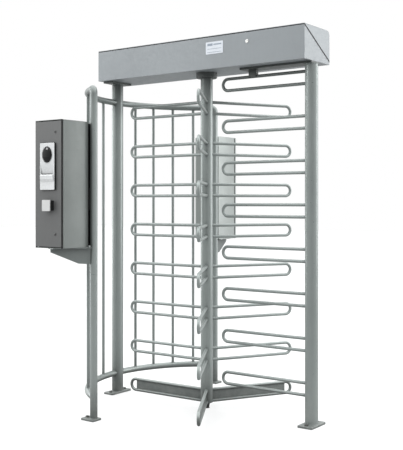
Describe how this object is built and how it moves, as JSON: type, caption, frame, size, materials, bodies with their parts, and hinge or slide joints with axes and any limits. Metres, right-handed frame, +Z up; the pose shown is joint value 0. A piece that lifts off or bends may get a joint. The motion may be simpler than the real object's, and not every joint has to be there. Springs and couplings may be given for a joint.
{
  "type": "full height turnstile",
  "caption": "Full-height turnstile with a three-wing rotor of hairpin arms, a fixed comb, a curved bar cage, a mechanism header and card-reader boxes on both cage ends.",
  "frame": {"origin": "on the floor, on the rotor's axis, at the middle of the floor pivot's underside", "axes": "+Z up; -Y is the side a visitor enters from; +X is the side with the fixed comb, -X the side with the cage"},
  "size_m": [1.586, 1.874, 2.3],
  "materials": {
    "frame_paint": "satin powder coat, silver grey",
    "plate_paint": "satin powder coat, silver grey, scuffed",
    "header_paint": "satin powder coat, light grey",
    "casing_paint": "satin powder coat, grey",
    "door_paint": "satin powder coat, dark grey",
    "reader_silver": "silver-white moulding",
    "dome_black": "glossy black window",
    "black_plastic": "black moulding",
    "button_white": "white moulding",
    "label_white": "blank white label plate",
    "lock_chrome": "plated lock cylinder",
    "machined_steel": "turned and milled steel",
    "zinc_steel": "zinc-plated steel",
    "cast_alloy": "die-cast alloy",
    "board_green": "circuit board"
  },
  "bodies": {
    "frame": {"bearing_housing": "frame_paint", "bearing_outer_ring": "machined_steel", "cable_blocks": "black_plastic", "cage_bars": "frame_paint", "cage_feet": "plate_paint", "cage_rails": "frame_paint", "comb_arms": "frame_paint", "comb_hanger": "frame_paint", "control_board": "board_green", "counting_sensor": "black_plastic", "cover_hinges": "zinc_steel", "floor_socket": "machined_steel", "front_cage_post": "frame_paint", "front_reader_casing": "casing_paint", "header_base": "header_paint", "header_bolts": "zinc_steel", "label_plate": "label_white", "left_base_plate": "plate_paint", "left_post": "frame_paint", "lock_solenoids": "zinc_steel", "power_supply": "zinc_steel", "reader_back_boxes": "black_plastic", "reader_boards": "board_green", "reader_brackets": "casing_paint", "reader_mount_plates": "casing_paint", "rear_cage_post": "frame_paint", "rear_reader_casing": "casing_paint", "right_base_plate": "plate_paint", "right_post": "frame_paint", "rotary_damper": "cast_alloy", "top_plates": "frame_paint"},
    "rotor": {"rotor_column": "frame_paint", "rotor_arms_a": "frame_paint", "rotor_arms_b": "frame_paint", "rotor_arms_c": "frame_paint", "rotor_foot_plates": "frame_paint", "rotor_pivot_pin": "machined_steel", "rotor_shaft": "machined_steel", "bearing_inner_ring": "machined_steel", "lock_disc": "machined_steel", "rotor_gear": "machined_steel"},
    "damper_shaft": {"damper_pinion": "machined_steel"},
    "entry_pawl": {"entry_lock_pawl": "machined_steel"},
    "exit_pawl": {"exit_lock_pawl": "machined_steel"},
    "cover": {"header_cover": "header_paint"},
    "cover_lock": {"header_lock": "lock_chrome"},
    "front_door": {"front_reader_door": "door_paint", "front_reader_plate": "reader_silver", "front_reader_dome": "dome_black", "front_button_housing": "black_plastic"},
    "front_button": {"front_push_button": "button_white"},
    "front_lock_upper": {"front_door_lock_upper": "lock_chrome"},
    "front_lock_lower": {"front_door_lock_lower": "lock_chrome"},
    "rear_door": {"rear_reader_door": "door_paint", "rear_reader_plate": "reader_silver", "rear_reader_dome": "dome_black", "rear_button_housing": "black_plastic"},
    "rear_button": {"rear_push_button": "button_white"},
    "rear_lock_upper": {"rear_door_lock_upper": "lock_chrome"},
    "rear_lock_lower": {"rear_door_lock_lower": "lock_chrome"}
  },
  "joints": [
    {"name": "rotor_spin", "type": "hinge", "parent": "frame", "child": "rotor", "pos_m": [0, 0, 1], "axis": [0, 0, 1], "continuous": true},
    {"name": "damper_spin", "type": "hinge", "parent": "frame", "child": "damper_shaft", "pos_m": [-0.12, 0, 2.17], "axis": [0, 0, 1], "continuous": true},
    {"name": "entry_pawl_swing", "type": "hinge", "parent": "frame", "child": "entry_pawl", "pos_m": [0.05949, 0.12095, 2.145], "axis": [0, 0, -1], "range_deg": [0, 8], "stiffness_Nm_per_rad": 0.5},
    {"name": "exit_pawl_swing", "type": "hinge", "parent": "frame", "child": "exit_pawl", "pos_m": [0.112, -0.075, 2.145], "axis": [0, 0, 1], "range_deg": [0, 8], "stiffness_Nm_per_rad": 0.5},
    {"name": "cover_lift", "type": "hinge", "parent": "frame", "child": "cover", "pos_m": [0, 0.1775, 2.119], "axis": [-1, 0, 0], "range_deg": [0, 100]},
    {"name": "cover_lock_turn", "type": "hinge", "parent": "frame", "child": "cover_lock", "pos_m": [0.384, -0.131, 2.239], "axis": [0, 1, 0], "range_deg": [0, 90]},
    {"name": "front_door_swing", "type": "hinge", "parent": "frame", "child": "front_door", "pos_m": [-0.578, -0.893, 1.39], "axis": [0, 0, -1], "range_deg": [0, 105]},
    {"name": "front_button_press", "type": "slide", "parent": "front_door", "child": "front_button", "axis": [0, 1, 0], "range_m": [0, 0.0035], "stiffness_N_per_m": 800},
    {"name": "front_upper_lock_turn", "type": "hinge", "parent": "front_door", "child": "front_lock_upper", "pos_m": [-0.422, -0.903, 1.691], "axis": [0, -1, 0], "range_deg": [0, 90]},
    {"name": "front_lower_lock_turn", "type": "hinge", "parent": "front_door", "child": "front_lock_lower", "pos_m": [-0.422, -0.903, 1.105], "axis": [0, 1, 0], "range_deg": [0, 90]},
    {"name": "rear_door_swing", "type": "hinge", "parent": "frame", "child": "rear_door", "pos_m": [-0.382, 0.893, 1.39], "axis": [0, 0, -1], "range_deg": [0, 105]},
    {"name": "rear_button_press", "type": "slide", "parent": "rear_door", "child": "rear_button", "axis": [0, -1, 0], "range_m": [0, 0.0035], "stiffness_N_per_m": 800},
    {"name": "rear_upper_lock_turn", "type": "hinge", "parent": "rear_door", "child": "rear_lock_upper", "pos_m": [-0.538, 0.903, 1.691], "axis": [0, 1, 0], "range_deg": [0, 90]},
    {"name": "rear_lower_lock_turn", "type": "hinge", "parent": "rear_door", "child": "rear_lock_lower", "pos_m": [-0.538, 0.903, 1.105], "axis": [0, -1, 0], "range_deg": [0, 90]}
  ],
  "couplings": [
    {"joint": "damper_spin", "follows": "rotor_spin", "ratio": -3}
  ]
}
